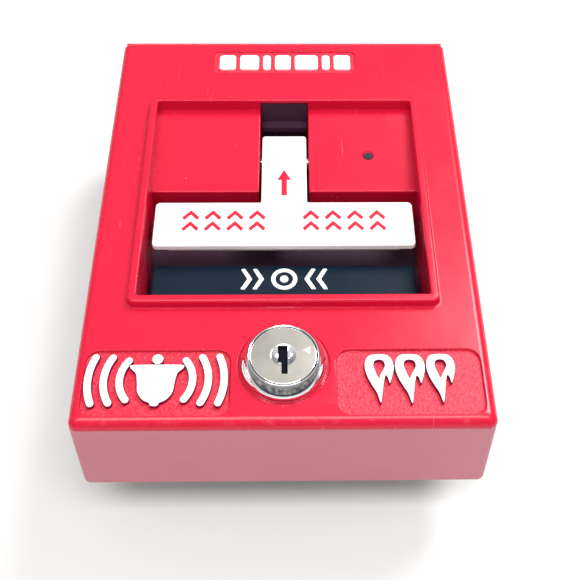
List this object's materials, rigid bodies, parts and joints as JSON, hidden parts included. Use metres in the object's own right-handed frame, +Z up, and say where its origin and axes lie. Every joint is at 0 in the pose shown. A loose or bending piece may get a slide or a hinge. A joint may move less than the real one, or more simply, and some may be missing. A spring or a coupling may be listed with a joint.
{
  "type": "manual call point",
  "caption": "Wall-mounted fire alarm call point: hinged red cover with key lock, sprung push plate, white pull-down T handle, and a steel back plate with rear electronics.",
  "frame": {"origin": "centre of the back plate's rear face, on the wall plane, midway between the two box screws", "axes": "+Z up the wall towards the lock, -Y out of the front, +Y into the wall, +X to the right when facing the front"},
  "size_m": [0.0952, 0.0494, 0.127],
  "materials": {
    "red_cover": "moulded polycarbonate, satin gloss",
    "black_frame": "moulded, glass filled",
    "zinc_screw": "zinc plated",
    "clear_pipe": "clear acrylic",
    "lock_chrome": "polished plating",
    "nut_brass": "nickel washed",
    "lock_face": "satin",
    "steel_plate": "zinc plated sheet",
    "steel_pin": "ground",
    "spring_steel": "drawn wire",
    "white_handle": "moulded, satin gloss",
    "black_plate": "moulded, glossy",
    "latch_steel": "blackened",
    "rivet_aluminium": "plain",
    "grey_housing": "moulded",
    "green_board": "solder mask",
    "green_block": "moulded",
    "clamp_brass": "tinned",
    "chip_black": "moulded",
    "capacitor_blue": "sleeved",
    "led_red": "tinted lens",
    "plunger_red": "moulded"
  },
  "bodies": {
    "base": {"back_plate": "steel_plate", "hinge_pins": "steel_pin", "cam_keeper": "steel_plate", "keeper_rivets": "rivet_aluminium", "module_housing": "grey_housing", "module_screws": "zinc_screw", "circuit_board": "green_board", "board_screws": "zinc_screw", "terminal_block": "green_block", "terminal_screws": "zinc_screw", "terminal_clamps": "clamp_brass", "controller_chip": "chip_black", "capacitor": "capacitor_blue", "indicator_led": "led_red", "switch_body": "chip_black", "switch_screws": "zinc_screw", "switch_pins": "clamp_brass"},
    "cover": {"front_cover": "red_cover", "inner_frame": "black_frame", "frame_screws": "zinc_screw", "light_pipe": "clear_pipe", "lock_barrel": "lock_chrome", "lock_washer": "zinc_screw", "lock_nut": "nut_brass", "handle_pin": "steel_pin", "plate_pin": "steel_pin", "latch_pin": "steel_pin", "handle_spring": "spring_steel", "plate_spring": "spring_steel", "latch_spring": "spring_steel"},
    "handle": {"pull_handle": "white_handle"},
    "plate": {"push_plate": "black_plate"},
    "lock": {"lock_plug": "lock_face", "lock_cam": "steel_plate", "cam_screw": "zinc_screw"},
    "latch": {"handle_latch": "latch_steel"},
    "lever": {"switch_lever": "spring_steel"},
    "plunger": {"switch_plunger": "plunger_red"}
  },
  "joints": [
    {"name": "cover_hinge", "type": "hinge", "parent": "base", "child": "cover", "pos_m": [0, -0.0024, -0.0611], "axis": [1, 0, 0], "range_deg": [0, 90]},
    {"name": "handle_pull", "type": "hinge", "parent": "cover", "child": "handle", "pos_m": [0, -0.0195, -0.0215], "axis": [1, 0, 0], "range_deg": [0, 35], "stiffness_Nm_per_rad": 0.02, "springref_deg": -20.05},
    {"name": "push_plate_in", "type": "hinge", "parent": "cover", "child": "plate", "pos_m": [0, -0.0206, 0.0336], "axis": [1, 0, 0], "range_deg": [0, 18], "stiffness_Nm_per_rad": 0.01, "springref_deg": -22.92},
    {"name": "lock_turn", "type": "hinge", "parent": "cover", "child": "lock", "pos_m": [0, -0.0275, 0.0477], "axis": [0, -1, 0], "range_deg": [0, 90]},
    {"name": "handle_latch_lift", "type": "hinge", "parent": "cover", "child": "latch", "pos_m": [-0.0046, -0.013, -0.0105], "axis": [1, 0, 0], "range_deg": [0, 10], "stiffness_Nm_per_rad": 0.001, "springref_deg": -28.65},
    {"name": "switch_lever_turn", "type": "hinge", "parent": "base", "child": "lever", "pos_m": [0.0245, -0.0051, -0.0098], "axis": [0, 1, 0], "range_deg": [0, 22.01]},
    {"name": "switch_plunger_travel", "type": "slide", "parent": "base", "child": "plunger", "axis": [0, 0, 1], "range_m": [0, 0.00125]}
  ],
  "couplings": [
    {"joint": "switch_lever_turn", "follows": "handle_pull", "ratio": 0.62857},
    {"joint": "switch_plunger_travel", "follows": "handle_pull", "m_per_rad": 0.0020463}
  ]
}
